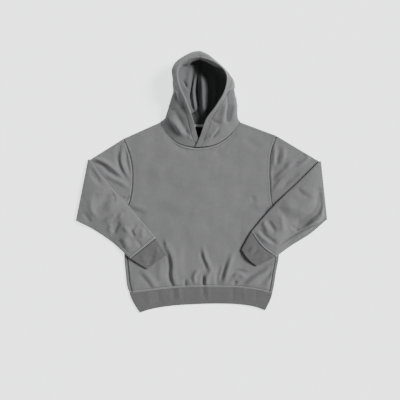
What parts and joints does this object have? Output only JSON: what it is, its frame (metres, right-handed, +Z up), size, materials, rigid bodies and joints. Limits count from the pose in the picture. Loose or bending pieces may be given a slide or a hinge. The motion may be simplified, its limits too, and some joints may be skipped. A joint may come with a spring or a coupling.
{
  "type": "pullover hoodie",
  "caption": "Pullover hooded sweatshirt laid flat on its back, sleeves folded in over the body, open hood with crossed front, ribbed hem and cuffs.",
  "frame": {"origin": "on the surface it lies on, below the middle of the laid garment's overall length and width", "axes": "+Z up from the surface through the layers, +Y from the hem to the hood, +X towards the wearer's left sleeve"},
  "size_m": [0.9118, 0.9378, 0.0917],
  "materials": {
    "fleece": "matte brushed jersey with a very fine knit face",
    "hood_lining": "matte jersey, the same cloth as the outside",
    "rib_knit": "matte fine rib knit",
    "neck_tape": "matte woven tape",
    "label": "dense woven label, slight sheen"
  },
  "bodies": {
    "root": {"front_panel": "fleece", "back_panel": "fleece", "sleeve_right": "fleece", "sleeve_left": "fleece", "hood_outer_right": "fleece", "hood_outer_left": "fleece", "hood_lining_right": "hood_lining", "hood_lining_left": "hood_lining", "hem_rib": "rib_knit", "cuff_right": "rib_knit", "cuff_left": "rib_knit", "neck_tape": "neck_tape", "neck_label": "label"}
  },
  "joints": []
}
